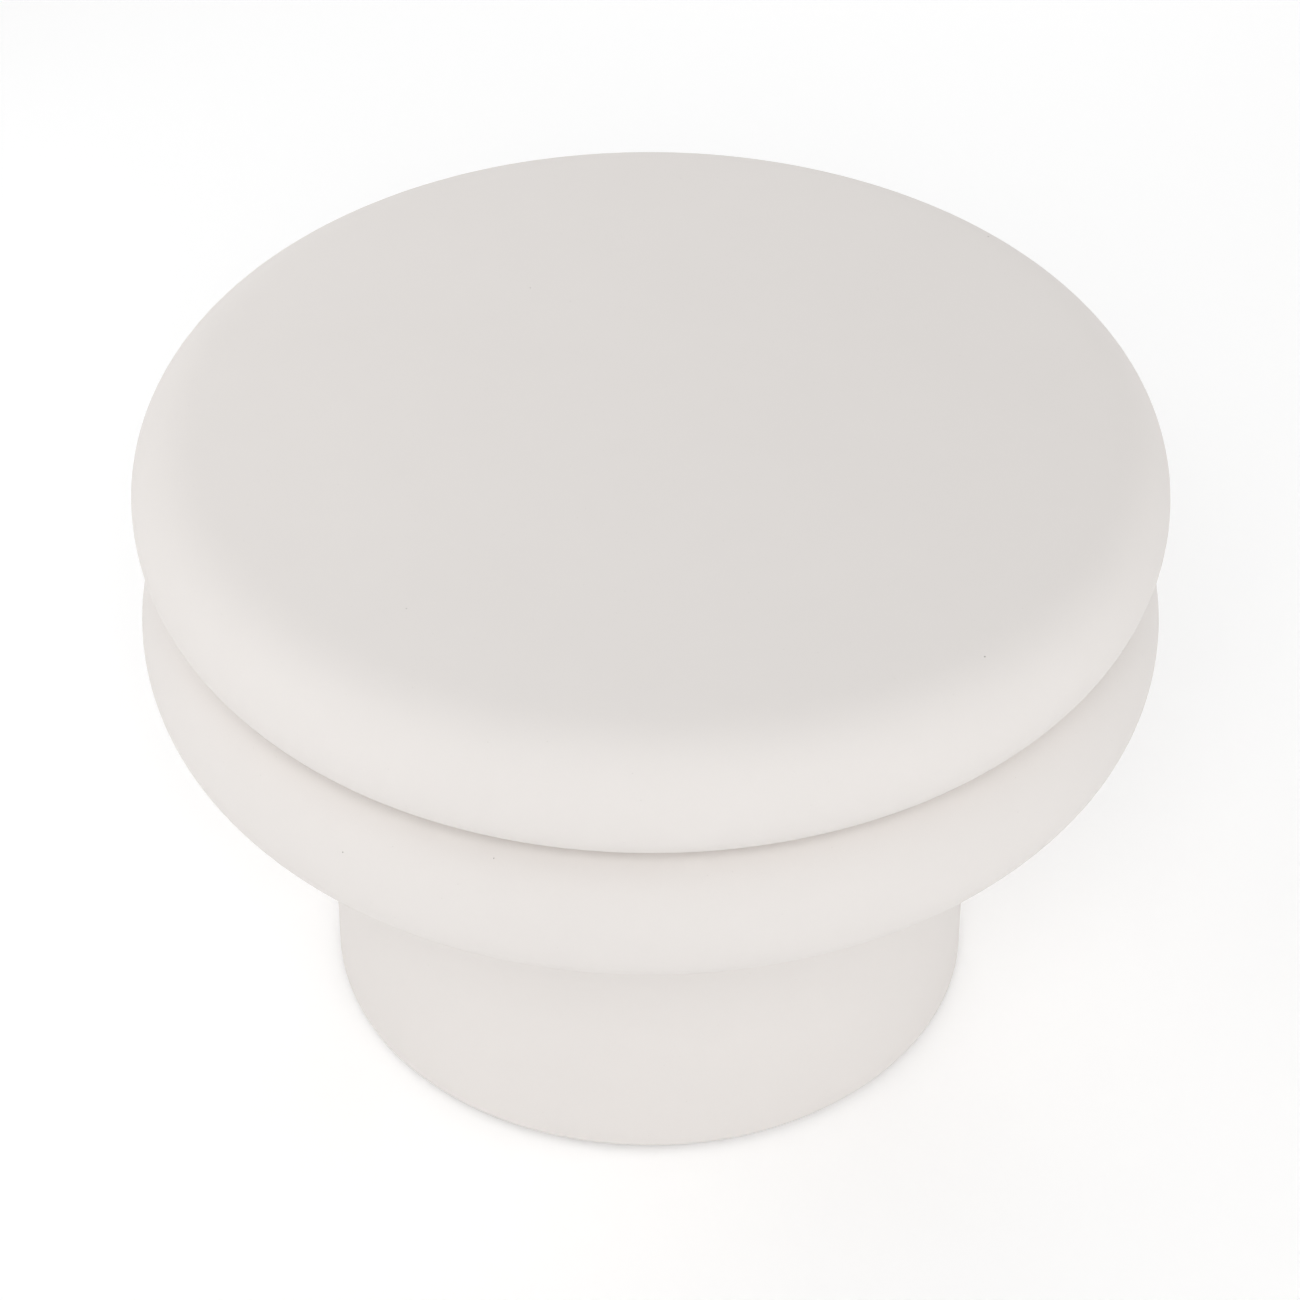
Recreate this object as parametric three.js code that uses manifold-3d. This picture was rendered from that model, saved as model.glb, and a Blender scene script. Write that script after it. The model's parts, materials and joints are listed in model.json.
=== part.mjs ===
// Round pedestal table: two thick cast discs with rounded edges, one on the other, on a cast drum.
// Millimetres, +Z up. The origin is on the floor, on the table's axis.
//
// Each disc is a thin cast skin round a foam core, with a plywood board in its open back. The two backs
// face each other. Four bolts run from inside the hollow drum up through the lower disc into threaded
// inserts in the upper board. A plywood ring in the drum's foot carries four levelling feet.

import * as THREE from 'three';
import { mergeVertices } from 'three/addons/utils/BufferGeometryUtils.js';
import Module from 'manifold-3d';

const wasm = await Module();
wasm.setup();

// ---- Driving dimensions ----

const discRadius = 300;
const discHeight = 89.5;
const drumRadius = 194.5;
const drumHeight = 220;
const footHeight = 4; // how far the pads hold the drum off the floor

const topEdgeWidth = 38; // the rounded edge of a disc, above its widest line: across, then up
const topEdgeHeight = 45;
const underEdgeWidth = 35; // the same below its widest line
const underEdgeHeight = discHeight - topEdgeHeight;
const footEdgeRadius = 2; // the drum's bottom corner

const skinWall = 10; // the cast wall of a disc
const lipWidth = 24; // the flat lip of skin round a disc's open back
const drumWall = 15;
const drumTopWall = 18;
const boardHeight = 18; // all the plywood
const gap = 0.3; // between pieces that touch

const boltCircle = 110; // radius of the circle that the bolts stand on
const boltRadius = 4;
const boltLength = 125;
const boltHeadHeight = 5.3;
const hexAcrossFlats = 13;
const washerRadius = 12;
const washerHeight = 2;
const spacerRadius = 8;
const insertRadius = 6.2;
const insertHeight = 15;

const ringWidth = 60; // the plywood ring in the drum's foot, across its flat
const ringRebate = 3; // how deep it is let into the drum's wall
const ringRecess = 10; // how far its underside is above the drum's bottom edge
const padRadius = 16;
const padHeight = 8;
const padSocketFloor = 3; // rubber left under the foot's stem
const padEdge = 1.2;
const stemTop = 30;
const collarHeight = 3; // the hexagon on a foot's stem, for a spanner
const teeFlangeRadius = 11;
const teeFlangeHeight = 1.5;
const teeBarrelRadius = 5.5;
const teeBarrelHeight = 12;

const roundSides = 60; // sides of a disc or the drum
const smallSides = 12; // sides of a fastener
const edgeSteps = 5; // steps round a quarter of an edge

// ---- Heights and radii worked out from them ----

const drumTop = footHeight + drumHeight;
const lowerBase = drumTop + gap;
const lowerTop = lowerBase + discHeight;
const upperBase = lowerTop + gap;

const mouthRadius = discRadius - underEdgeWidth - lipWidth;
const holeRadius = boltRadius + 0.5; // clearance hole for a bolt
const threadRadius = boltRadius + gap; // inside of a nut or an insert
const hexRadius = hexAcrossFlats / Math.sqrt(3);

const washerTop = drumTop - drumTopWall - gap;
const headTop = washerTop - washerHeight - gap;

const ringBase = footHeight + ringRecess;
const ringTop = ringBase + boardHeight;
const ringOuter = drumRadius - drumWall + ringRebate - gap;
const ringInner = ringOuter - ringWidth;
const footCircle = (ringOuter + ringInner) / 2;
const teeBase = ringBase - gap - teeFlangeHeight;

// ---- Materials ----

const finishes = {
  cast: { color: 0xe6e2df, roughness: 0.85, metalness: 0 },
  foam: { color: 0xf4f4f1, roughness: 0.9, metalness: 0 },
  plywood: { color: 0xcaa878, roughness: 0.7, metalness: 0 },
  zinc: { color: 0xb4b6b8, roughness: 0.4, metalness: 1 },
  rubber: { color: 0x2a2a2b, roughness: 0.9, metalness: 0 },
};

const table = new THREE.Group();

function addPiece(name, geometry, finish) {
  const mesh = new THREE.Mesh(geometry, new THREE.MeshStandardMaterial(finishes[finish]));
  mesh.name = name;
  table.add(mesh);
}

// ---- Shapes ----

// A solid of revolution about +Z. The outline is a list of [radius, height], with the solid on its left.
function turned(outline, sides) {
  const points = outline.map(([radius, height]) => new THREE.Vector2(radius, height));
  return new THREE.LatheGeometry(points, sides).rotateX(Math.PI / 2);
}

// A quarter of an ellipse about [radius, height], from one angle to the next, in degrees from outward.
function quarterEllipse([radius, height], width, rise, fromDegrees) {
  return Array.from({ length: edgeSteps + 1 }, (_, i) => {
    const angle = THREE.MathUtils.degToRad(fromDegrees + (90 * i) / edgeSteps);
    return [radius + width * Math.cos(angle), height + rise * Math.sin(angle)];
  });
}

function cylinder(radius, base, top, sides) {
  return turned([[0, base], [radius, base], [radius, top], [0, top]], sides);
}

function tube(inner, outer, base, top, sides) {
  return turned([[inner, base], [outer, base], [outer, top], [inner, top], [inner, base]], sides);
}

// A hexagonal prism for a spanner.
function hexagon(base, top) {
  return cylinder(hexRadius, base, top, 6);
}

// A mesh as a manifold solid: positions only, shared vertices merged, and no triangle without an area.
function toSolid(geometry) {
  const bare = geometry.clone();
  bare.deleteAttribute('normal');
  bare.deleteAttribute('uv');
  const merged = mergeVertices(bare, 1e-4);
  const corners = merged.getIndex().array;
  const triVerts = [];
  for (let i = 0; i < corners.length; i += 3) {
    const [a, b, c] = corners.slice(i, i + 3);
    if (a !== b && b !== c && c !== a) triVerts.push(a, b, c);
  }
  return new wasm.Manifold(new wasm.Mesh({
    numProp: 3,
    vertProperties: new Float32Array(merged.getAttribute('position').array),
    triVerts: new Uint32Array(triVerts),
  }));
}

function toGeometry(solid) {
  const { vertProperties, triVerts } = solid.getMesh();
  const geometry = new THREE.BufferGeometry();
  geometry.setAttribute('position', new THREE.BufferAttribute(vertProperties, 3));
  geometry.setIndex(new THREE.BufferAttribute(triVerts, 1));
  geometry.computeVertexNormals();
  return geometry;
}

function cut(body, ...tools) {
  return toGeometry(tools.reduce((solid, tool) => solid.subtract(toSolid(tool)), toSolid(body)));
}

function joined(body, ...others) {
  return toGeometry(others.reduce((solid, other) => solid.add(toSolid(other)), toSolid(body)));
}

// Four places a quarter turn apart on a circle, on the diagonals.
function onCircle(radius) {
  return [45, 135, 225, 315].map((degrees) => {
    const angle = THREE.MathUtils.degToRad(degrees);
    return [radius * Math.cos(angle), radius * Math.sin(angle)];
  });
}

// Four copies of a drill, for the holes in a piece.
function drills(circle, radius, base, top) {
  return onCircle(circle).map(([x, y]) => cylinder(radius, base, top, smallSides).translate(x, y, 0));
}

// ---- Discs ----

// A disc's outline, drawn inward by inset: flat base, rounded edge, flat top.
function discOutline(inset, base) {
  const under = [discRadius - underEdgeWidth, base + underEdgeHeight];
  const upper = [discRadius - topEdgeWidth, base + underEdgeHeight];
  return [
    [0, base + inset],
    ...quarterEllipse(under, underEdgeWidth - inset, underEdgeHeight - inset, -90),
    ...quarterEllipse(upper, topEdgeWidth - inset, topEdgeHeight - inset, 0).slice(1),
    [0, base + discHeight - inset],
  ];
}

// The cast skin of a disc, hollow, with a round mouth between two heights.
function discSkin(base, mouthFrom, mouthTo) {
  return cut(
    turned(discOutline(0, base), roundSides),
    turned(discOutline(skinWall, base), roundSides),
    cylinder(mouthRadius, mouthFrom, mouthTo, roundSides),
  );
}

// The foam inside a skin, with a pocket for the board between two heights.
function foamCore(base, pocketFrom, pocketTo, ...holes) {
  return cut(
    turned(discOutline(skinWall + gap, base), roundSides),
    cylinder(mouthRadius, pocketFrom, pocketTo, roundSides),
    ...holes,
  );
}

const lowerMiddle = lowerBase + discHeight / 2;
const upperMiddle = upperBase + discHeight / 2;
const lowerBoardBase = lowerTop - boardHeight;
const upperBoardTop = upperBase + boardHeight;

// The lower disc opens upward, and has clearance holes for the bolts in its base.
const lowerSkin = discSkin(lowerBase, lowerMiddle, lowerTop + 1);
const lowerHoles = drills(boltCircle, holeRadius, lowerBase - 1, lowerMiddle);
addPiece('lower_disc', cut(lowerSkin, ...lowerHoles), 'cast');

const spacerHoles = drills(boltCircle, spacerRadius + gap, lowerBase, lowerTop);
addPiece('lower_core', foamCore(lowerBase, lowerBoardBase - gap, lowerTop, ...spacerHoles), 'foam');

const lowerBoard = cylinder(mouthRadius - gap, lowerBoardBase, lowerTop, roundSides);
const boardHoles = drills(boltCircle, holeRadius, lowerBoardBase - 1, lowerTop + 1);
addPiece('lower_board', cut(lowerBoard, ...boardHoles), 'plywood');

// The upper disc opens downward, so that its top is unbroken.
addPiece('upper_disc', discSkin(upperBase, upperBase - 1, upperMiddle), 'cast');
addPiece('upper_core', foamCore(upperBase, upperBase, upperBoardTop + gap), 'foam');

const upperBoard = cylinder(mouthRadius - gap, upperBase, upperBoardTop, roundSides);
const insertHoles = drills(boltCircle, insertRadius + gap, upperBase - 1, upperBoardTop + 1);
addPiece('upper_board', cut(upperBoard, ...insertHoles), 'plywood');

// ---- Drum ----

// A closed top, a plain round wall, a step that stands on the plywood ring, and a softened foot.
const ledge = ringTop + gap;
const wallInner = drumRadius - drumWall;
const footCorner = [drumRadius - footEdgeRadius, footHeight + footEdgeRadius];
const drumOutline = [
  [0, drumTop - drumTopWall],
  [wallInner, drumTop - drumTopWall],
  [wallInner, ledge],
  [wallInner + ringRebate, ledge],
  [wallInner + ringRebate, footHeight],
  ...quarterEllipse(footCorner, footEdgeRadius, footEdgeRadius, -90),
  [drumRadius, drumTop],
  [0, drumTop],
];
const drumHoles = drills(boltCircle, holeRadius, drumTop - drumTopWall - 1, drumTop + 1);
addPiece('pedestal', cut(turned(drumOutline, roundSides), ...drumHoles), 'cast');

const plainRing = tube(ringInner, ringOuter, ringBase, ringTop, roundSides);
const teeHoles = drills(footCircle, teeBarrelRadius + gap, ringBase - 1, ringTop + 1);
addPiece('base_ring', cut(plainRing, ...teeHoles), 'plywood');

// ---- Clamp bolts, each with its washer, spacer tube and threaded insert ----

const bolt = joined(
  hexagon(headTop - boltHeadHeight, headTop),
  cylinder(boltRadius, headTop - 1, headTop + boltLength, smallSides),
);
const washer = tube(holeRadius, washerRadius, washerTop - washerHeight, washerTop, smallSides * 2);
const spacerBase = lowerBase + skinWall + gap;
const spacer = tube(holeRadius, spacerRadius, spacerBase, lowerBoardBase - gap, smallSides);
const insertBase = upperBase + gap;
const insert = tube(threadRadius, insertRadius, insertBase, insertBase + insertHeight, smallSides);

onCircle(boltCircle).forEach(([x, y], i) => {
  addPiece(`clamp_bolt_${i + 1}`, bolt.clone().translate(x, y, 0), 'zinc');
  addPiece(`clamp_washer_${i + 1}`, washer.clone().translate(x, y, 0), 'zinc');
  addPiece(`spacer_tube_${i + 1}`, spacer.clone().translate(x, y, 0), 'zinc');
  addPiece(`threaded_insert_${i + 1}`, insert.clone().translate(x, y, 0), 'zinc');
});

// ---- Levelling feet, each a tee nut in the ring, a stem with a spanner collar, and a rubber pad ----

const teeNut = turned([
  [threadRadius, teeBase],
  [teeFlangeRadius, teeBase],
  [teeFlangeRadius, teeBase + teeFlangeHeight],
  [teeBarrelRadius, teeBase + teeFlangeHeight],
  [teeBarrelRadius, teeBase + teeFlangeHeight + teeBarrelHeight],
  [threadRadius, teeBase + teeFlangeHeight + teeBarrelHeight],
  [threadRadius, teeBase],
], smallSides);

const collarBase = padHeight + gap;
const stem = joined(
  cylinder(boltRadius, padSocketFloor + gap, stemTop, smallSides),
  hexagon(collarBase, collarBase + collarHeight),
);

const pad = turned([
  [0, 0],
  [padRadius - padEdge, 0],
  [padRadius, padEdge],
  [padRadius, padHeight - padEdge],
  [padRadius - padEdge, padHeight],
  [threadRadius, padHeight],
  [threadRadius, padSocketFloor],
  [0, padSocketFloor],
], smallSides * 2);

onCircle(footCircle).forEach(([x, y], i) => {
  addPiece(`tee_nut_${i + 1}`, teeNut.clone().translate(x, y, 0), 'zinc');
  addPiece(`foot_stem_${i + 1}`, stem.clone().translate(x, y, 0), 'zinc');
  addPiece(`foot_pad_${i + 1}`, pad.clone().translate(x, y, 0), 'rubber');
});

export default table;
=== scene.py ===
"""Round pedestal table: two cast discs on a cast drum, in metres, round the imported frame.

Every new piece is a surface worked out with numpy, a profile turned about an upright axis or a function
of two parameters on a grid. Every finish is a node material written as arithmetic on shader sockets.
"""
import json
import math

import bpy
import numpy as np
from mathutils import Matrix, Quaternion, Vector


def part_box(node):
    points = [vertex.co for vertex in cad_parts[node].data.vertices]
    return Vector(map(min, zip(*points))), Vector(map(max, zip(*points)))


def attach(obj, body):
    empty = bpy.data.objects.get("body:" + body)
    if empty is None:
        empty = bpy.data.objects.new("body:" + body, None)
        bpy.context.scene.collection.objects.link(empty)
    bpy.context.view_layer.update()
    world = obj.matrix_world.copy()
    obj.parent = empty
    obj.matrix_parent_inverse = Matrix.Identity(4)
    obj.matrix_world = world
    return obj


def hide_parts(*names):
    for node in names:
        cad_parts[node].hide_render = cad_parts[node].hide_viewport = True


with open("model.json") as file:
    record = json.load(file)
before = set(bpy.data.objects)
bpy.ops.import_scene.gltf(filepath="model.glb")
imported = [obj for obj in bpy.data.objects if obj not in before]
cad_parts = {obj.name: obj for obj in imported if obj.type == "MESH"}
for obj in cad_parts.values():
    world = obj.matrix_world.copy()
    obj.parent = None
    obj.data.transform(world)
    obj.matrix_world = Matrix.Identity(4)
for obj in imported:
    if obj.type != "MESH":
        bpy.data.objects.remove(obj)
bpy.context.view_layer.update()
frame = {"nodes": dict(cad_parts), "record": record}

# ---- Sizes, in metres ----
#
# What the frame's boxes give is read from them. These are the rest.

GAP = 0.0003  # between pieces that touch

# The castings
TOP_EDGE = (0.038, 0.045)  # a disc's rounded edge above its widest line: across, up
UNDER_EDGE = (0.035, 0.0445)  # the same below it
FOOT_ROUND = 0.002  # the drum's bottom corner
REBATE = 0.003  # how deep the plywood ring is let into the drum's wall
TURNS = 288  # steps round a disc or the drum
EDGE_STEPS = 20  # steps round a quarter of an outside edge
INNER_STEPS = 16  # the same inside, fine enough to clear the foam core
CREASE_ANGLE = 25  # degrees between faces from which an edge is sharp

# Drilled holes
BOLT_HOLE = 0.0045  # radii
TEE_HOLE = 0.0058
PAST = 0.001  # how far a drill runs past a face that it goes through
SKIN_DRILL = 0.02  # how deep it goes into the hollow disc, and into the hollow drum
DRUM_DRILL = 0.03

# Bolts, washers, nuts and stems
BOLT_RADIUS = 0.004
PITCH = 0.00125  # of the bolts' and stems' thread
THREAD_DEPTH = 0.0006
THREAD_STEPS = 6  # rows of points in one turn of thread
THREADED_END = 0.024  # of a clamp bolt
END_BEVEL = 0.0008  # on the end of a rod
SPANNER_SIZE = 0.013  # across a hexagon's flats
HEX_FACE = 0.47 * SPANNER_SIZE  # radius of the round face that a hexagon's chamfer leaves
COLLAR = 0.003  # height of the spanner collar on a foot's stem
WASHER_ROUND = 0.0006
FLANGE_HEIGHT = 0.0015  # of a tee nut
BARREL_RADIUS = 0.0055
NOTCH_DEPTH = 0.0024  # in the flange's rim
HARDWARE_SIDES = 48

# Plywood and pads
EASE = 0.001  # how far a sawn plywood edge is rounded
PAD_GROOVES = (0.0035, 0.0065, 0.0095, 0.0125)  # radii where the rings in a pad's sole begin
GROOVE_DEPTH = 0.0008
GROOVE_WIDTH = 0.0015
GROOVE_SLOPE = 0.0003  # how wide a groove's sloping side is
PAD_SHOULDER = 0.0012  # radius of a pad's rounded edges
SOCKET_FLOOR = 0.003  # rubber left under the stem
DISH = 0.0005  # how far a pad's top is sunk

# The stage
FLOOR_REACH = 30.0  # from the middle to each side
GLOW_RAMP = (1.2, 3.5)  # distances from the table between which the floor's glow grows

SPOTS = [f"_{number}" for number in (1, 2, 3, 4)]


def centre_of(node):
    """The middle of a CAD node's box."""
    low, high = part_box(node)
    return (low + high) / 2


# ---- Shader arithmetic ----

class Signal:
    """A number on a shader socket. Arithmetic on signals adds the Math nodes that work it out."""

    def __init__(self, bench, socket):
        self.bench = bench
        self.socket = socket

    def math(self, operation, *others):
        """A Math node of this signal and the others, in that order."""
        sockets = dict(enumerate((self, *others)))
        return self.bench.node("ShaderNodeMath", {"operation": operation}, sockets)

    def __add__(self, other):
        return self.math("ADD", other)

    __radd__ = __add__

    def __sub__(self, other):
        return self.math("SUBTRACT", other)

    def __rsub__(self, other):
        return self.math("MULTIPLY", -1.0).math("ADD", other)

    def __mul__(self, other):
        return self.math("MULTIPLY", other)

    __rmul__ = __mul__

    def __truediv__(self, other):
        return self.math("DIVIDE", other)

    def __pow__(self, other):
        return self.math("POWER", other)

    def fold(self, span):
        """Climbs from 0 to span and falls back to 0, over and over."""
        return self.math("PINGPONG", span)

    def step(self, start, end):
        """0 before start, 1 after end, and a smooth S between. Start may be the larger one."""
        sockets = {"Value": self, "From Min": start, "From Max": end}
        return self.bench.node("ShaderNodeMapRange", {"interpolation_type": "SMOOTHSTEP"}, sockets)


class Bench:
    """A node tree under construction."""

    def __init__(self, tree):
        self.tree = tree

    def node(self, kind, settings, sockets, result=0):
        """Adds a node: its settings first, then a value or a signal for each named socket."""
        made = self.tree.nodes.new(kind)
        for setting, value in settings.items():
            setattr(made, setting, value)
        for socket, value in sockets.items():
            if isinstance(value, Signal):
                self.tree.links.new(value.socket, made.inputs[socket])
            else:
                made.inputs[socket].default_value = value
        return Signal(self, made.outputs[result])


class Finish(Bench):
    """A node material under construction: one Principled shader, and the methods that paint it."""

    def __init__(self, name, **constants):
        self.material = bpy.data.materials.new(name)
        self.material.use_nodes = True
        super().__init__(self.material.node_tree)
        self.tree.nodes.clear()
        output = self.tree.nodes.new("ShaderNodeOutputMaterial")
        self.shader = self.tree.nodes.new("ShaderNodeBsdfPrincipled")
        self.tree.links.new(self.shader.outputs[0], output.inputs["Surface"])
        for socket, value in constants.items():
            self.shader.inputs[socket.replace("_", " ")].default_value = value
        self.place = self.node("ShaderNodeTexCoord", {}, {}, "Object")

    def stretched(self, across, along, upward):
        """The object's own coordinates, scaled along X, Y and Z."""
        sockets = {"Vector": self.place, "Scale": (across, along, upward)}
        return self.node("ShaderNodeMapping", {}, sockets)

    def noise(self, size, detail=2.0, roughness=0.5, where=None):
        """Cloudy noise from 0 to 1, with features about size metres across."""
        sockets = {"Vector": where or self.place, "Scale": 1 / size}
        sockets.update({"Detail": detail, "Roughness": roughness})
        return self.node("ShaderNodeTexNoise", {}, sockets)

    def specks(self, spacing, radius, share):
        """1 inside small round specks: a share of points strewn spacing metres apart, 0 elsewhere."""
        sockets = {"Vector": self.place, "Scale": 1 / spacing}
        distance = self.node("ShaderNodeTexVoronoi", {}, sockets, "Distance")
        lottery = self.node("ShaderNodeTexVoronoi", {}, sockets, "Color")
        drawn = self.node("ShaderNodeSeparateColor", {}, {"Color": lottery}, "Red")
        inside = distance.step(radius / spacing, 0.5 * radius / spacing)
        return inside * drawn.step(1 - share, 1 - 0.98 * share)

    def blend(self, amount, first, second):
        """One colour turning into another as amount goes from 0 to 1."""
        sockets = {0: amount, 6: first, 7: second}
        return self.node("ShaderNodeMix", {"data_type": "RGBA"}, sockets, 2)

    def apart(self):
        """The X, Y and Z of a point in the object's own coordinates, as three signals."""
        return [self.node("ShaderNodeSeparateXYZ", {}, {0: self.place}, axis) for axis in "XYZ"]

    def paint(self, socket, signal):
        self.tree.links.new(signal.socket, self.shader.inputs[socket])

    def emboss(self, relief, depth):
        """Raises the surface by relief times depth metres."""
        bump = self.node("ShaderNodeBump", {}, {"Height": relief, "Distance": depth, "Strength": 1.0})
        self.paint("Normal", bump)


# ---- Finishes ----

def cast_finish(name):
    """Warm white fine cast: faint clouds and float marks, a tight grain, and a few small pinholes and
    pores painted darker as painted shade in their hollows.
    """
    finish = Finish(name, Specular_IOR_Level=0.35)
    clouds = finish.noise(0.11, detail=3, roughness=0.55)
    patches = finish.noise(0.024, detail=3, roughness=0.6)
    grain = finish.noise(0.0011, detail=2, roughness=0.6)
    floated = finish.noise(0.012, detail=2, where=finish.stretched(1.0, 0.22, 1.0))
    shaded_pinholes = finish.specks(0.012, 0.0006, 0.035)
    shaded_pores = finish.specks(0.0045, 0.0003, 0.10)

    tone = 0.45 * clouds + 0.25 * patches + 0.3 * grain
    dull, bright = (0.757, 0.7245, 0.7000, 1), (0.771, 0.7385, 0.7140, 1)
    colour = finish.blend(tone.step(0.28, 0.72), dull, bright)
    # Painted shade: the pores and pinholes are painted darker, standing in for the shade inside these
    # tiny hollows
    colour = finish.blend(0.35 * shaded_pores, colour, (0.42, 0.39, 0.37, 1))
    colour = finish.blend(0.8 * shaded_pinholes, colour, (0.20, 0.18, 0.17, 1))
    finish.paint("Base Color", colour)
    finish.paint("Roughness", 0.74 + 0.10 * patches + 0.08 * grain)
    waves = 0.12 * clouds + 0.05 * floated + 0.03 * patches + 0.035 * grain
    finish.emboss(waves - 0.3 * shaded_pores - 0.9 * shaded_pinholes, 0.0004)
    return finish.material


def foam_finish(name):
    """Bead foam: rounded cells 3 mm across with darker joints."""
    finish = Finish(name, Specular_IOR_Level=0.3)
    sockets = {"Vector": finish.place, "Scale": 1 / 0.003}
    joint = finish.node("ShaderNodeTexVoronoi", {"feature": "DISTANCE_TO_EDGE"}, sockets, "Distance")
    bead = joint.step(0.0, 0.12)
    finish.paint("Base Color", finish.blend(bead, (0.62, 0.62, 0.60, 1), (0.86, 0.86, 0.84, 1)))
    finish.paint("Roughness", 0.9 - 0.25 * bead)
    finish.emboss(bead, 0.0003)
    return finish.material


def plywood_finish(name):
    """Birch plywood: grain along X on the faces, and thin plies, light and dark in turn, up the edge."""
    finish = Finish(name, Specular_IOR_Level=0.4)
    upward = finish.apart()[2]
    figure = finish.noise(0.02, detail=4, roughness=0.6, where=finish.stretched(0.12, 1.0, 1.0))
    fibres = finish.noise(0.0016, detail=2, where=finish.stretched(0.06, 1.0, 1.0))
    plies = (upward / 0.0014).fold(1.0).step(0.35, 0.65)
    tone = 0.5 * figure + 0.25 * fibres + 0.25 * plies
    dark, pale = (0.36, 0.22, 0.11, 1), (0.66, 0.48, 0.28, 1)
    finish.paint("Base Color", finish.blend(tone.step(0.2, 0.8), dark, pale))
    finish.paint("Roughness", 0.55 + 0.25 * fibres)
    finish.emboss(0.6 * fibres + 0.4 * figure, 0.0002)
    return finish.material


def zinc_finish(name):
    """Zinc-plated steel: a bluish grey with faint spangle, rubbed paler and smoother in places."""
    finish = Finish(name, Metallic=1.0)
    spangle = finish.noise(0.003, detail=3, roughness=0.6)
    rubbed = finish.noise(0.009, detail=2).step(0.5, 0.75)
    scratches = finish.noise(0.0007, detail=1, where=finish.stretched(0.3, 1.0, 1.0))
    colour = finish.blend(spangle.step(0.3, 0.7), (0.42, 0.44, 0.46, 1), (0.58, 0.59, 0.60, 1))
    finish.paint("Base Color", finish.blend(0.5 * rubbed, colour, (0.68, 0.67, 0.64, 1)))
    finish.paint("Roughness", 0.42 - 0.12 * rubbed + 0.12 * scratches)
    finish.emboss(0.5 * spangle + 0.5 * scratches, 0.00005)
    return finish.material


def rubber_finish(name):
    """Black rubber with a fine moulded grain and a little grey dust."""
    finish = Finish(name, Specular_IOR_Level=0.3)
    grain = finish.noise(0.0006, detail=2)
    dust = finish.noise(0.006, detail=4, roughness=0.65).step(0.5, 0.8)
    black, grey = (0.018, 0.018, 0.019, 1), (0.10, 0.097, 0.09, 1)
    finish.paint("Base Color", finish.blend(0.5 * dust, black, grey))
    finish.paint("Roughness", 0.72 + 0.2 * grain)
    finish.emboss(grain, 0.0001)
    return finish.material


def floor_finish(name, near_glow, far_glow):
    """A plain pale matte floor with a trace of cloud, lit from within like a light table.

    The glow is near_glow under the table, plus far_glow times a smooth S of the distance from it, so
    that the floor stays pale out to the horizon.
    """
    finish = Finish(name, Roughness=0.9, Specular_IOR_Level=0.1, Emission_Strength=1.0)
    clouds = finish.noise(1.2, detail=1)
    finish.paint("Base Color", finish.blend(clouds, (0.93, 0.93, 0.93, 1), (0.95, 0.95, 0.95, 1)))
    across, along = finish.apart()[:2]
    distance = (across * across + along * along) ** 0.5
    glow = near_glow + far_glow * distance.step(*GLOW_RAMP)
    finish.paint("Emission Color", finish.blend(glow, (0, 0, 0, 1), (1, 1, 1, 1)))
    return finish.material


# ---- Shapes ----

def angles(sides):
    """Angles evenly spaced round a circle, counterclockwise from +X."""
    return np.linspace(0, 2 * np.pi, sides, endpoint=False)


def quarter(middle, across, rise, start, steps):
    """A quarter of an ellipse round middle, counterclockwise from start degrees, as points (r, z)."""
    angle = np.radians(start + np.linspace(0, 90, steps + 1))
    return np.stack([middle[0] + across * np.cos(angle), middle[1] + rise * np.sin(angle)], 1)


def line(start, end, steps):
    """Points evenly spaced from start to end, without the last one."""
    share = np.linspace(0, 1, steps, endpoint=False)[:, None]
    return np.array(start) + share * (np.array(end) - np.array(start))


def mesh_object(name, points, faces):
    """An object with its place in its mesh, shaded smooth up to sharp corners."""
    mesh = bpy.data.meshes.new(name)
    mesh.from_pydata(points.tolist(), [], faces)
    mesh.validate()
    mesh.update()
    made = bpy.data.objects.new(name, mesh)
    bpy.context.scene.collection.objects.link(made)
    mesh.shade_smooth()
    mesh.set_sharp_from_angle(angle=math.radians(CREASE_ANGLE))
    return made


def grid_faces(rows, columns, wrap_rows):
    """Quads of a grid whose columns go round and close, and whose rows close too if wrap_rows."""
    row = np.arange(rows if wrap_rows else rows - 1)[:, None]
    column = np.arange(columns)[None, :]
    following, beside = (row + 1) % rows, (column + 1) % columns
    corners = [row * columns + column, row * columns + beside]
    corners += [following * columns + beside, following * columns + column]
    return np.stack([np.broadcast_to(c, (len(row), columns)) for c in corners], -1).reshape(-1, 4)


def ringed(name, rows, sides, centre=(0, 0), poles=None):
    """A surface of rows of points round an upright axis, with the solid on the left of the way they run.

    A row is a radius r and a height z, each a number or one value for each angle a, and its points are
    (r cos a, r sin a, z). poles holds the heights of a first and a last point on the axis; without them
    the last row joins the first.
    """
    angle = angles(sides)
    radius = np.stack([np.broadcast_to(row[0], sides) for row in rows])
    height = np.stack([np.broadcast_to(row[1], sides) for row in rows])
    across, along = radius * np.cos(angle) + centre[0], radius * np.sin(angle) + centre[1]
    points = np.stack([across, along, height], -1).reshape(-1, 3)
    faces = grid_faces(len(rows), sides, poles is None).tolist()
    if poles is not None:
        first, last = len(points), len(points) + 1
        points = np.vstack([points, [[*centre, poles[0]], [*centre, poles[1]]]])
        here = np.arange(sides)
        beside = (here + 1) % sides
        last_row = (len(rows) - 1) * sides
        faces += np.stack([np.full(sides, first), beside, here], 1).tolist()
        faces += np.stack([np.full(sides, last), last_row + here, last_row + beside], 1).tolist()
    return mesh_object(name, points, faces)


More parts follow.
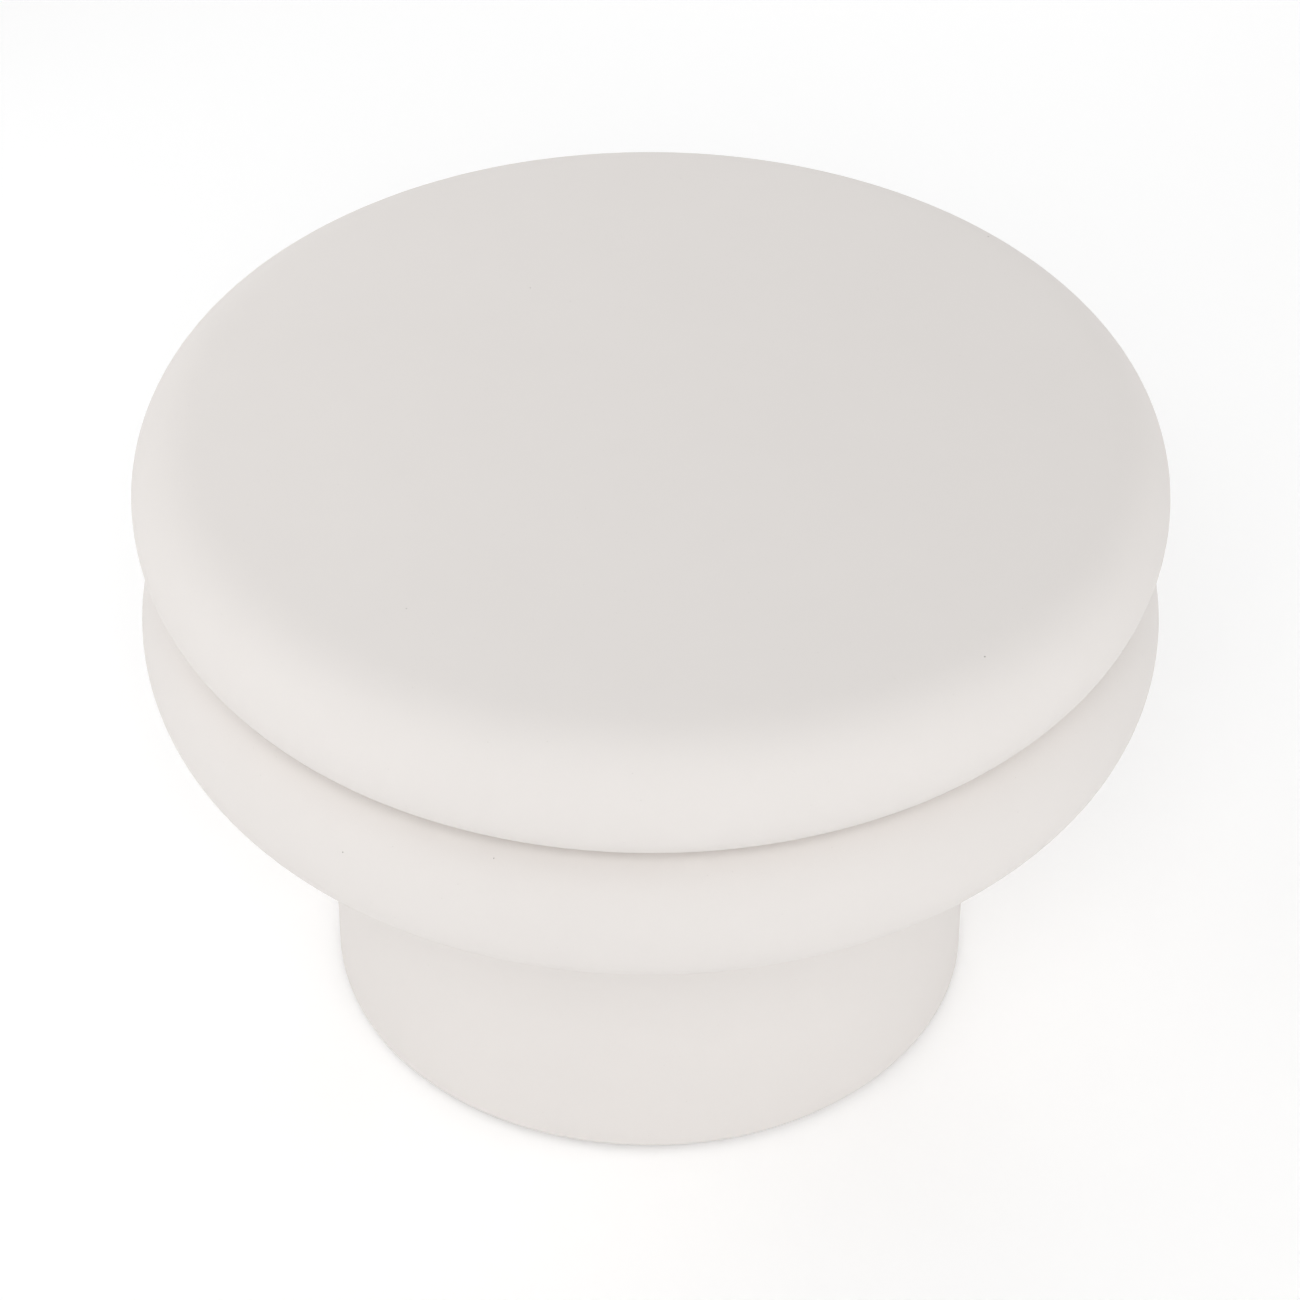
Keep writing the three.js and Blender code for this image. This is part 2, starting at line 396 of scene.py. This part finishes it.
def turned(name, outline, sides, centre=(0, 0), sway=None):
    """A profile of (r, z) points turned about an upright axis, with sway(a, r, z) added to the radius.

    A profile that starts on the axis ends there too, and both ends become single points.
    """
    outline = np.asarray(outline, float)
    poled = outline[0, 0] == 0
    rows = outline[1:-1] if poled else outline
    if sway is not None:
        rows = [(r + sway(angles(sides), r, z), z) for r, z in rows]
    poles = (outline[0, 1], outline[-1, 1]) if poled else None
    return ringed(name, rows, sides, centre, poles)


def hand_sway(angle, radius, height):
    """How far a hand-finished edge strays from round, up to about 0.2 mm: three slow waves round it.

    Sines of 3, 5 and 11 times the angle, shifted a little with height and growing with the radius.
    """
    waves = np.sin(3 * angle + 0.8) + 0.6 * np.sin(5 * angle + 2.1 + 9 * height)
    waves = waves + 0.4 * np.sin(11 * angle + 4.0 - 14 * height)
    return 0.0001 * waves * radius / 0.3


def drilled(piece, node_stem, radius, low, high):
    """Cuts an upright hole through a piece on the axis of each of four CAD nodes."""
    for spot in SPOTS:
        middle = centre_of(node_stem + spot)
        outline = [[0, low], [radius, low], [radius, high], [0, high]]
        drill = turned("drill", outline, 32, middle[:2])
        cut = piece.modifiers.new("hole", "BOOLEAN")
        cut.object = drill
        cut.operation = "DIFFERENCE"
        cut.solver = "EXACT"
        bpy.context.view_layer.update()
        shape = piece.evaluated_get(bpy.context.evaluated_depsgraph_get())
        mesh = bpy.data.meshes.new_from_object(shape)
        piece.modifiers.clear()
        blank = piece.data
        piece.data = mesh
        bpy.data.meshes.remove(blank)
        bpy.data.meshes.remove(drill.data)
    return piece


# ---- Placing a piece ----

def place(piece, finish, slot, *nodes):
    """Gives a piece its finish, and stands it in for its CAD nodes. The slot argument is not used."""
    piece.data.materials.clear()
    piece.data.materials.append(finish)
    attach(piece, "root")
    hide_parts(*nodes)
    return piece


# ---- Castings ----

def disc_skin(name, node, board, opens_up):
    """The hollow skin of a disc: flat faces, elliptical edges, and a round mouth in one flat face."""
    low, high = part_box(node)
    radius, base, top = high.x, low.z, high.z
    core_low, core_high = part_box(node.replace("disc", "core"))
    to_core = core_low.z - base if opens_up else top - core_high.z
    wall = to_core - GAP
    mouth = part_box(board)[1].x + GAP

    def edge(size, start, inset, steps):
        """A quarter of the disc's edge, size across and up, drawn inward by inset."""
        across, rise = size
        middle = (radius - across, base + UNDER_EDGE[1])
        return quarter(middle, across - inset, rise - inset, start, steps)

    def outline(inset, steps):
        """The disc's profile drawn inward by inset, from its base to its top."""
        return np.vstack([edge(UNDER_EDGE, -90, inset, steps), edge(TOP_EDGE, 0, inset, steps)[1:]])

    outside = outline(0, EDGE_STEPS)
    inside = outline(wall, INNER_STEPS)[::-1]
    if opens_up:
        closed = line((0, base), outside[0], 12)
        inner = [[mouth, top], [mouth, top - wall]]
        back = line(inside[-1], (0, base + wall), 6)
        end = [[0, base + wall]]
        profile = np.vstack([closed, outside, inner, inside, back[1:], end])
    else:
        closed = line((outside[-1, 0], top), (0, top), 24)
        inner = [[mouth, base + wall], [mouth, base]]
        start = line((0, top - wall), inside[0], 6)
        profile = np.vstack([start, inside, inner, outside[:-1], closed, [[0, top]]])
    return turned(name, profile, TURNS, sway=hand_sway)


def drum(name):
    """The drum: a closed top, a plain wall, a step for the plywood ring, and a softened foot."""
    low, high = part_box("pedestal")
    ring_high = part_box("base_ring")[1]
    radius, base, top = high.x, low.z, high.z
    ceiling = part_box("clamp_washer_1")[1].z + GAP
    rebate = ring_high.x + GAP
    wall_inner = rebate - REBATE
    ledge = ring_high.z + GAP
    foot = quarter((radius - FOOT_ROUND, base + FOOT_ROUND), FOOT_ROUND, FOOT_ROUND, -90, 6)
    profile = np.vstack([
        line((0, ceiling), (wall_inner, ceiling), 8),
        line((wall_inner, ceiling), (wall_inner, ledge), 10),
        [[wall_inner, ledge], [rebate, ledge], [rebate, base]],
        foot,
        line(foot[-1], (radius, top), 24)[1:],
        line((radius, top), (0, top), 8),
        [[0, top]],
    ])
    return turned(name, profile, TURNS, sway=hand_sway)


# ---- Plywood and hardware ----

def ply_ring(name):
    """The flat plywood ring in the drum's foot, its four edges eased with quarter circles."""
    low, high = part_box("base_ring")
    outer = high.x
    inner = 2 * centre_of("tee_nut_1").xy.length - outer  # the tee nuts stand half way across it
    right, left = outer - EASE, inner + EASE
    bottom, top = low.z + EASE, high.z - EASE
    turns = [((right, bottom), -90), ((right, top), 0), ((left, top), 90), ((left, bottom), 180)]
    profile = [quarter(middle, EASE, EASE, start, 3) for middle, start in turns]
    return turned(name, np.vstack(profile), TURNS)


def washer(name, node):
    """A stamped washer: one face a little rounded at its rim, and a clean bore."""
    low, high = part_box(node)
    outer, base, top = (high.x - low.x) / 2, low.z, high.z
    burr = 0.0002
    rim = quarter((outer - WASHER_ROUND, base + WASHER_ROUND), WASHER_ROUND, WASHER_ROUND, -90, 4)
    bore = [[BOLT_HOLE, top], [BOLT_HOLE, base + burr], [BOLT_HOLE + burr, base]]
    return turned(name, [*bore, *rim, [outer, top]], HARDWARE_SIDES, centre_of(node)[:2])


def hexagon(sides):
    """From a hexagon's middle to its side: half its size / cos(a), a folded to within 30 degrees."""
    folded = (angles(sides) + np.pi / 6) % (np.pi / 3) - np.pi / 6
    return SPANNER_SIZE / 2 / np.cos(folded)


def hex_rows(base, top, chamfer_top):
    """A chamfered hexagon: a cone of 30 degrees trims its corners, below and, if asked, above."""
    reach = hexagon(HARDWARE_SIDES)
    fall = (reach - HEX_FACE) * math.tan(math.radians(30))
    rows = [(HEX_FACE, base), (reach, base + fall)]
    if chamfer_top:
        return rows + [(reach, top - fall), (HEX_FACE, top)]
    return rows + [(reach, top)]


def thread_rows(start, end):
    """Rows of a screw thread: the radius less a V that climbs a pitch a turn and fades at the ends."""
    count = round((end - start) / PITCH * THREAD_STEPS) + 1
    heights = np.linspace(start, end, count)
    fade = np.clip(np.minimum(heights - start, end - heights) / PITCH, 0, 1)
    turn = (heights[:, None] / PITCH - angles(HARDWARE_SIDES)[None, :] / (2 * np.pi)) % 1
    cut = THREAD_DEPTH * fade[:, None] * np.abs(2 * turn - 1)
    return list(zip(BOLT_RADIUS - cut, heights))


def rod_end(height, inward):
    """The chamfered end of a rod, from or towards the axis."""
    rows = [(BOLT_RADIUS - END_BEVEL, height), (BOLT_RADIUS - 0.0001, height + inward * 0.0007)]
    return rows if inward > 0 else rows[::-1]


def clamp_bolt(name, node):
    """A bolt, head down: a chamfered hexagon, a plain shank, and thread up to a chamfered end."""
    low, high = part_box(node)
    head_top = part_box(node.replace("bolt", "washer"))[0].z - GAP
    thread_start = high.z - THREADED_END
    rows = hex_rows(low.z, head_top, False)
    rows += [(BOLT_RADIUS, head_top), (BOLT_RADIUS, thread_start)]
    rows += thread_rows(thread_start + 0.0002, high.z - END_BEVEL) + rod_end(high.z, -1)
    return ringed(name, rows, HARDWARE_SIDES, centre_of(node)[:2], (low.z, high.z))


def foot_stem(name, node):
    """A levelling foot's stem: a rod in the pad, a spanner collar above it, and thread to the top."""
    low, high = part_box(node)
    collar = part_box(node.replace("stem", "pad"))[1].z + GAP
    collar_top = collar + COLLAR
    rows = rod_end(low.z, 1) + [(BOLT_RADIUS, collar)]
    rows += hex_rows(collar, collar_top, True) + [(BOLT_RADIUS, collar_top)]
    rows += thread_rows(collar_top + 0.0001, high.z - END_BEVEL) + rod_end(high.z, -1)
    return ringed(name, rows, HARDWARE_SIDES, centre_of(node)[:2], (low.z, high.z))


def tee_nut(name, node):
    """A tee nut: a round flange with four notches in its rim, and a short barrel above it.

    The notches are where cos(4 a) passes 0.8: their depth grows from there in step with it, to its limit.
    """
    low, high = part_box(node)
    rim, base, top = (high.x - low.x) / 2, low.z, high.z
    sides = 2 * HARDWARE_SIDES
    flange = rim - NOTCH_DEPTH * np.clip(6 * (np.cos(4 * angles(sides)) - 0.8), 0, 1)
    flange_top = base + FLANGE_HEIGHT
    barrel, bore, bevel = BARREL_RADIUS, BOLT_RADIUS + GAP, 0.0004
    rows = [(bore, top), (bore, base + bevel), (bore + bevel, base), (flange - bevel, base)]
    rows += [(flange, base + bevel), (flange, flange_top), (barrel, flange_top)]
    rows += [(barrel, top - bevel), (barrel - bevel, top)]
    return ringed(name, rows, sides, centre_of(node)[:2])


def foot_pad(name, node):
    """A rubber pad: rings in its sole, round shoulders, a dished top and a socket for the stem."""
    low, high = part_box(node)
    radius, base, top = (high.x - low.x) / 2, low.z, high.z
    socket, socket_floor = BOLT_RADIUS + GAP, base + SOCKET_FLOOR
    groove_top, dish = base + GROOVE_DEPTH, top - DISH
    rim = radius - PAD_SHOULDER
    profile = [[0, base]]
    for start in PAD_GROOVES:
        end = start + GROOVE_WIDTH
        profile += [[start, base], [start + GROOVE_SLOPE, groove_top]]
        profile += [[end - GROOVE_SLOPE, groove_top], [end, base]]
    profile += list(quarter((rim, base + PAD_SHOULDER), PAD_SHOULDER, PAD_SHOULDER, -90, 4))
    profile += [[radius - 0.0004, (base + top) / 2]]
    profile += list(quarter((rim, top - PAD_SHOULDER), PAD_SHOULDER, PAD_SHOULDER, 0, 4))
    profile += [[0.6 * radius, dish], [socket + 0.0008, dish], [socket, top - 0.001]]
    profile += [[socket, socket_floor], [0, socket_floor]]
    return turned(name, profile, HARDWARE_SIDES, centre_of(node)[:2])


# ---- The table ----

cast = cast_finish("warm_white_cast")
foam = foam_finish("bead_foam")
plywood = plywood_finish("birch_plywood")
zinc = zinc_finish("zinc_plate")
rubber = rubber_finish("black_rubber")

place(disc_skin("upper_disc_cast", "upper_disc", "upper_board", False), cast, "cast", "upper_disc")

lower = disc_skin("lower_disc_cast", "lower_disc", "lower_board", True)
lower_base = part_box("lower_disc")[0].z
drilled(lower, "clamp_bolt", BOLT_HOLE, lower_base - PAST, lower_base + SKIN_DRILL)
place(lower, cast, "cast", "lower_disc")

stand = drum("drum_cast")
drum_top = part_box("pedestal")[1].z
drilled(stand, "clamp_bolt", BOLT_HOLE, drum_top - DRUM_DRILL, drum_top + PAST)
place(stand, cast, "cast", "pedestal")

ring = ply_ring("base_ring_ply")
ring_low, ring_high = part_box("base_ring")
drilled(ring, "tee_nut", TEE_HOLE, ring_low.z - PAST, ring_high.z + PAST)
place(ring, plywood, "plywood", "base_ring")

HARDWARE = {
    "clamp_bolt": (clamp_bolt, zinc, "zinc"),
    "clamp_washer": (washer, zinc, "zinc"),
    "tee_nut": (tee_nut, zinc, "zinc"),
    "foot_stem": (foot_stem, zinc, "zinc"),
    "foot_pad": (foot_pad, rubber, "rubber"),
}
for stem, (shape, finish, slot) in HARDWARE.items():
    for spot in SPOTS:
        place(shape(f"{stem}_fine{spot}", stem + spot), finish, slot, stem + spot)


def carried_over():
    """Gives every CAD node the finish of its material slot, for those that stay as they are."""
    finishes = {"cast": cast, "foam": foam, "plywood": plywood, "zinc": zinc, "rubber": rubber}
    for part in frame["record"]["subparts"]:
        node = frame["nodes"][part["node"]]
        node.data.materials.clear()
        node.data.materials.append(finishes[part["material_slot"]])


carried_over()


# ---- Floor, light and camera ----

def floor(near_glow, far_glow):
    """A wide flat floor under the foot pads: one square at height 0."""
    x, y = np.meshgrid([-FLOOR_REACH, FLOOR_REACH], [-FLOOR_REACH, FLOOR_REACH])
    points = np.stack([x.ravel(), y.ravel(), np.zeros(4)], 1)
    made = mesh_object("floor", points, [[0, 1, 3, 2]])
    made.data.materials.append(floor_finish("pale_floor", near_glow, far_glow))


def soft_light(name, azimuth, elevation, distance, size, power):
    """A square soft box that faces the table, power watts strong and size metres wide.

    azimuth goes from the front, -Y, towards the right, and elevation up from level, both in degrees.
    """
    aim = Vector((0, 0, 0.25))
    a, e = math.radians(azimuth), math.radians(elevation)
    away = Vector((math.sin(a) * math.cos(e), -math.cos(a) * math.cos(e), math.sin(e)))
    data = bpy.data.lights.new(name, "AREA")
    data.shape = "SQUARE"
    data.size = size
    data.energy = power
    lamp = bpy.data.objects.new(name, data)
    lamp.location = aim + away * distance
    lamp.rotation_mode = "QUATERNION"
    lamp.rotation_quaternion = (-away).to_track_quat("-Z", "Y")
    bpy.context.scene.collection.objects.link(lamp)


def room_light(ceiling, walls):
    """Even light from a white room: its ceiling's strength, plus the walls' times (1 - z)^3.

    z is the height of a direction, from 0 at the horizon to 1 overhead.
    """
    world = bpy.data.worlds.new("white_room")
    world.use_nodes = True
    room = Bench(world.node_tree)
    direction = room.node("ShaderNodeTexCoord", {}, {}, "Generated")
    height = room.node("ShaderNodeSeparateXYZ", {}, {0: direction}, "Z")
    strength = ceiling + walls * (1 - height.math("ABSOLUTE")) ** 3
    backdrop = world.node_tree.nodes["Background"]
    backdrop.inputs["Color"].default_value = (1.0, 1.0, 1.0, 1)
    world.node_tree.links.new(strength.socket, backdrop.inputs["Strength"])
    bpy.context.scene.world = world


def camera():
    """A long lens 2.7 m away, 40 degrees above the table, aimed a little over its middle."""
    elevation = math.radians(40.04)
    distance = 2.6936
    pivot = Vector((0, 0, 0.2))
    aim = Vector((-0.0002, 0, 0.2276))
    tilt = 0.003
    data = bpy.data.cameras.new("camera")
    data.lens = 123.84
    data.sensor_width = 36
    data.clip_start = 0.05
    data.clip_end = 100
    eye = bpy.data.objects.new("camera", data)
    eye.location = pivot + distance * Vector((0, -math.cos(elevation), math.sin(elevation)))
    eye.rotation_mode = "QUATERNION"
    level = (aim - eye.location).to_track_quat("-Z", "Y")
    eye.rotation_quaternion = level @ Quaternion((0, 0, 1), tilt)
    bpy.context.scene.collection.objects.link(eye)
    bpy.context.scene.camera = eye


floor(near_glow=0.129, far_glow=0.25)
room_light(ceiling=0.351, walls=0.709)
soft_light("key_light", 0, 40, 3.2, 1.5, 32.3)
soft_light("overhead_light", 0, 88, 2.5, 2.0, 4.7)
soft_light("front_left_light", -60, 15, 2.5, 1.5, 3.8)
soft_light("right_light", 80, 20, 2.5, 1.5, 9.7)
soft_light("back_light", 170, 30, 2.5, 1.5, 14.0)
soft_light("near_left_light", -90, 35, 1.4, 0.8, 2.8)
soft_light("near_back_light", -130, 30, 1.4, 0.8, 1.5)
camera()
bpy.context.scene.view_settings.view_transform = "Standard"
